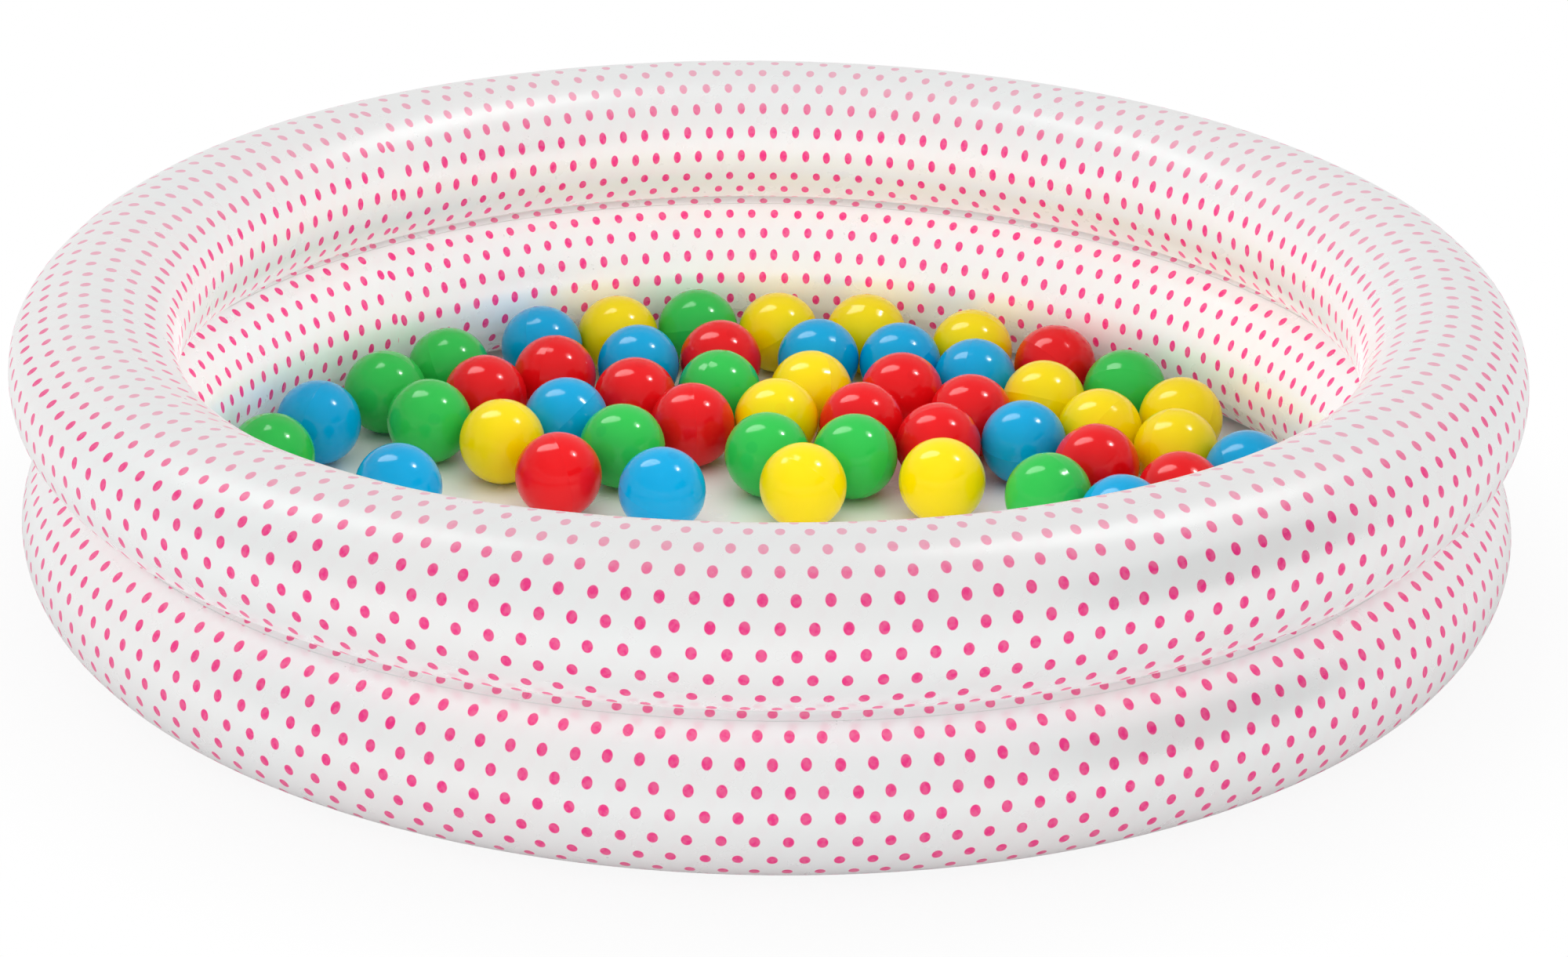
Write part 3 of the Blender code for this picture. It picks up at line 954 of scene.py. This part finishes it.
@dataclass
class Studio:
    """A white room: an even glow, two soft lamps and a pale floor."""

    glow: float = 1.17
    dimmer: float = 0.8
    floor_radius: float = 7.0
    floor_drop: float = 0.0004

    def world(self) -> None:
        """Make the glow, white behind the pool and with a darker wall for the film to mirror."""
        world = bpy.data.worlds.new("room")
        world.use_nodes = True
        bpy.context.scene.world = world
        sheet = NodeSheet(world.node_tree)
        way = sheet.node("ShaderNodeSeparateXYZ")
        sheet.feed(way.inputs[0], sheet.node("ShaderNodeTexCoord").outputs["Generated"])
        side, depth, height = way.outputs
        shaded = sheet.maths("MULTIPLY", sheet.smooth(depth, -0.30, 0.20, 0.22, 0.0),
                             sheet.smooth(height, 0.0, 0.30))
        shaded = sheet.maths("MULTIPLY", shaded, sheet.smooth(height, 0.70, 0.90, 1.0, 0.0))
        room = sheet.maths("SUBTRACT", sheet.smooth(height, 0.55, 0.95, 0.95, 0.80), shaded)
        backdrop = sheet.maths("MULTIPLY", sheet.smooth(depth, 0.30, 0.75), sheet.smooth(height, 0.40, 0.70, 1.0, 0.0))
        mirrored = sheet.maths("ADD", room, sheet.maths("MULTIPLY", backdrop, sheet.maths("SUBTRACT", 1.0, room)))
        fill = sheet.smooth(height, 0.50, 0.95, self.glow, self.glow * 0.98)
        fill = sheet.maths("MULTIPLY_ADD", depth, sheet.smooth(height, 0.10, 0.45, -0.34, -0.02), fill)
        fill = sheet.maths("ADD", fill, sheet.smooth(side, 0.1, 1.0, 0.0, -0.50))
        low = sheet.maths("MULTIPLY", sheet.smooth(height, 0.0, 0.22, 0.54, 0.0),
                          sheet.smooth(side, 0.3, 0.95, 1.0, 0.40))
        fill = sheet.maths("ADD", fill, low)
        left = sheet.maths("MULTIPLY", sheet.smooth(side, -0.95, -0.2, 1.0, 0.0),
                           sheet.smooth(height, 0.10, 0.45, -0.10, -0.30))
        fill = sheet.maths("ADD", fill, left)
        path = sheet.node("ShaderNodeLightPath")
        seen = sheet.maths("MAXIMUM", path.outputs["Is Camera Ray"], path.outputs["Is Transmission Ray"])
        level = sheet.node("ShaderNodeMix", data_type="FLOAT")
        sheet.feed(level.inputs[0], path.outputs["Is Glossy Ray"])
        sheet.feed(level.inputs[2], fill)
        sheet.feed(level.inputs[3], mirrored)
        shown = sheet.node("ShaderNodeMix", data_type="FLOAT")
        sheet.feed(shown.inputs[0], seen)
        sheet.feed(shown.inputs[2], sheet.maths("MULTIPLY", level.outputs[0], self.dimmer))
        shown.inputs[3].default_value = 1.0
        glow = sheet.node("ShaderNodeBackground")
        glow.inputs["Color"].default_value = (1.0, 1.0, 1.0, 1.0)
        sheet.feed(glow.inputs["Strength"], shown.outputs[0])
        output = sheet.node("ShaderNodeOutputWorld")
        sheet.feed(output.inputs["Surface"], glow.outputs[0])

    def lamps(self) -> None:
        """Hang the wide soft box on the left and the round one on the right."""
        film, balls = ("upper_air", "lower_air", "outer_waist", "inner_waist"), ("play_ball",)
        SoftLamp("film_left", (-0.523, 0.262, 0.812), 4.8, 36.0, 11.4, 1.0, -94.7, Rays.GLOSS, shines_on=film).build()
        SoftLamp("film_right", (0.426, 0.247, 0.870), 4.5, 34.0, 19.0, 1.1, -98.9, Rays.GLOSS, shines_on=film).build()
        SoftLamp("left_sheen", (-0.42, 0.305, 0.8545), 4.1, 42.0, 20.0, 8.0, 105.0, Rays.GLOSS,
                 shines_on=balls).build()
        SoftLamp("right_sheen", (0.53, 0.100, 0.84), 4.1, 16.0, 16.0, 5.6, 0.0, Rays.GLOSS, shines_on=balls).build()
        SoftLamp("right_core", (0.56, 0.075, 0.825), 3.9, 6.0, 6.0, 72.0, 0.0, Rays.GLOSS, shines_on=balls).build()
        SoftLamp("ledge_fill", (0.0, 0.0, 1.0), 1.2, 60.0, 60.0, 0.85, 0.0, Rays.MATT, shines_on=film[1:],
                 unshaded=True).build()
        SoftLamp("eaves_fill", (0.0, 0.0, -1.0), 1.2, 60.0, 60.0, 0.80, 0.0, Rays.MATT, shines_on=film[:1],
                 unshaded=True).build()
        SoftLamp("bowl_fill", (0.0, 0.0, 1.0), 0.18, 123.0, 123.0, 0.62, 0.0, Rays.MATT).build()
        SoftLamp("front_fill", (0.0, -1.0, 0.0), 0.30, 90.0, 20.0, 0.6, 0.0, Rays.MATT, 0.07).build()
        SoftLamp("inner_fill", (0.0, 0.45, -1.0), 0.27, 96.0, 96.0, 0.9, 0.0, Rays.MATT, shines_on=film,
                 unshaded=True).build()
        SoftLamp("inner_eaves_fill", (0.0, 0.40, -1.0), 0.52, 82.0, 82.0, 3.8, 0.0, Rays.MATT, shines_on=film[:1],
                 unshaded=True).build()
        SoftLamp("low_wall_fill", (0.0, 0.40, -1.0), 0.52, 82.0, 82.0, 1.7, 0.0, Rays.MATT, shines_on=film[1:2],
                 unshaded=True).build()
        SoftLamp("ball_fill", (0.0, 0.0, -1.0), 0.20, 128.0, 128.0, 0.80, 0.0, Rays.MATT, shines_on=balls,
                 unshaded=True).build()

    def card(self, side: int, level: float) -> None:
        """Stand a dark card by the front of the pool, which only glossy surfaces see.

        Args:
            side: 1 for the right and -1 for the left.
            level: How bright it is.
        """
        shape = bmesh.new()
        bmesh.ops.create_grid(shape, x_segments=1, y_segments=1, size=0.5)
        bmesh.ops.scale(shape, verts=shape.verts, vec=(0.95, 0.74, 1.0))
        bmesh.ops.rotate(shape, verts=shape.verts, cent=(0, 0, 0), matrix=Matrix.Rotation(math.pi / 2, 3, "X"))
        bmesh.ops.rotate(shape, verts=shape.verts, cent=(0, 0, 0),
                         matrix=Matrix.Rotation(math.radians(66.0 * side), 3, "Z"))
        bmesh.ops.translate(shape, verts=shape.verts, vec=(1.12 * side, -0.76, 0.60))
        material, sheet = new_material("dark_card")
        grey = sheet.node("ShaderNodeEmission")
        sheet.feed(grey.inputs["Strength"], level)
        output = sheet.node("ShaderNodeOutputMaterial")
        sheet.feed(output.inputs["Surface"], grey.outputs[0])
        card = mesh_object("dark_card", shape, material, smooth=False)
        card.visible_camera = False
        card.visible_diffuse = False
        card.visible_transmission = False
        card.visible_shadow = False

    def floor(self) -> None:
        """Lay the pale floor, which fades to white away from the pool and keeps its shadow."""
        shape = bmesh.new()
        bmesh.ops.create_circle(shape, cap_ends=True, segments=96, radius=self.floor_radius)
        bmesh.ops.translate(shape, verts=shape.verts, vec=(0, 0, -self.floor_drop))
        material, sheet = new_material("studio_floor")
        diffuse = sheet.node("ShaderNodeBsdfDiffuse")
        diffuse.inputs["Color"].default_value = (0.86, 0.86, 0.86, 1.0)
        white = sheet.node("ShaderNodeEmission")
        place = sheet.node("ShaderNodeSeparateXYZ")
        sheet.feed(place.inputs[0], sheet.object_place())
        away = sheet.maths("SQRT", sheet.maths("ADD", sheet.maths("POWER", place.outputs[0], 2.0),
                                               sheet.maths("POWER", place.outputs[1], 2.0)))
        share = sheet.smooth(away, 0.56, 0.74, 0.90, 1.0)
        path = sheet.node("ShaderNodeLightPath")
        seen = sheet.maths("MAXIMUM", path.outputs["Is Camera Ray"], path.outputs["Is Transmission Ray"])
        lit = sheet.node("ShaderNodeEmission")
        unseen = sheet.maths("SUBTRACT", 1.0, seen)
        sheet.feed(lit.inputs["Strength"], sheet.maths("MULTIPLY", unseen, sheet.smooth(away, 0.56, 0.95, 0.0, 0.16)))
        sum_of_both = sheet.node("ShaderNodeAddShader")
        sheet.feed(sum_of_both.inputs[0], diffuse.outputs[0])
        sheet.feed(sum_of_both.inputs[1], lit.outputs[0])
        cover = sheet.node("ShaderNodeMixShader")
        sheet.feed(cover.inputs[0], sheet.maths("MULTIPLY", seen, share))
        sheet.feed(cover.inputs[1], sum_of_both.outputs[0])
        sheet.feed(cover.inputs[2], white.outputs[0])
        output = sheet.node("ShaderNodeOutputMaterial")
        sheet.feed(output.inputs["Surface"], cover.outputs[0])
        mesh_object("studio_floor", shape, material, smooth=False)

    def build(self) -> None:
        """Set up the room."""
        self.world()
        self.lamps()
        self.card(1, 0.05)
        self.card(-1, 0.50)
        self.floor()
        bpy.context.scene.view_settings.view_transform = "Standard"


@dataclass
class PhotoCamera:
    """The camera in front of the pool, looking down on it."""

    distance: float = 3.3888
    elevation: float = 0.4165
    pitch: float = 0.3980
    yaw: float = 0.0041
    roll: float = 0.0164
    lens: float = 98.58

    def build(self) -> None:
        """Set up the camera."""
        data = bpy.data.cameras.new("photo_camera")
        data.sensor_fit = "HORIZONTAL"
        data.sensor_width = 36.0
        data.lens = self.lens
        data.clip_end = 50.0
        camera = bpy.data.objects.new("photo_camera", data)
        bpy.context.scene.collection.objects.link(camera)
        ahead = Vector((math.sin(self.yaw) * math.cos(self.pitch), math.cos(self.yaw) * math.cos(self.pitch),
                        -math.sin(self.pitch)))
        right = Vector((math.cos(self.yaw), -math.sin(self.yaw), 0.0))
        upwards = right.cross(ahead)
        tilted_right = right * math.cos(self.roll) + upwards * math.sin(self.roll)
        tilted_up = upwards * math.cos(self.roll) - right * math.sin(self.roll)
        axes = Matrix((tilted_right, tilted_up, -ahead)).transposed()
        place = Vector((0.0, -self.distance * math.cos(self.elevation), self.distance * math.sin(self.elevation)))
        camera.matrix_world = Matrix.Translation(place) @ axes.to_4x4()
        bpy.context.scene.camera = camera


def main() -> None:
    """Build the dressed pool piece by piece."""
    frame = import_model()
    film = FilmFinish().build()
    soft = VinylFinish("valve_soft", (0.88, 0.88, 0.87, 1.0), 0.0).build()
    clear = VinylFinish("valve_clear", (0.90, 0.93, 0.94, 1.0), 0.22).build()
    upper = AirRing("upper_air_ring", "upper_ring", 0.1275, 0.1255, 0.18265, 0.07, 3.5, 1.2, 4.3, 20.0, -90.0)
    lower = AirRing("lower_air_ring", "lower_ring", 0.1200, 0.1190, 0.0601, 0.68, 6.0, -2.5, 3.9, -39.8, -270.0)
    for ring, prefix in ((upper, "upper"), (lower, "lower")):
        valve = Valve(prefix, ring.width, ring.height, ring.middle)
        ring.build(film, valve.placement())
        valve.build(soft, clear)
        log.info("%s ring and its valve made", prefix)
    WaistWeld("outer_waist_weld", 0.5330, 0.5378, 0.5290, 0.1156, 0.1196, 0.1236, 4.10,
              row_length=0.012).build(film)
    WaistWeld("inner_waist_weld", 0.4995, 0.4947, 0.5035, 0.1156, 0.1196, 0.1236, 4.70,
              row_length=-0.010).build(film)
    log.info("waist welds made")
    FloorFilm().build(FloorFinish().build())
    log.info("floor made")
    count = BallSet(frame["record"]).build()
    log.info("%d balls made", count)
    Studio().build()
    PhotoCamera().build()


if __name__ == "__main__":
    logging.basicConfig(level=logging.INFO, format="%(name)s: %(message)s")
    main()
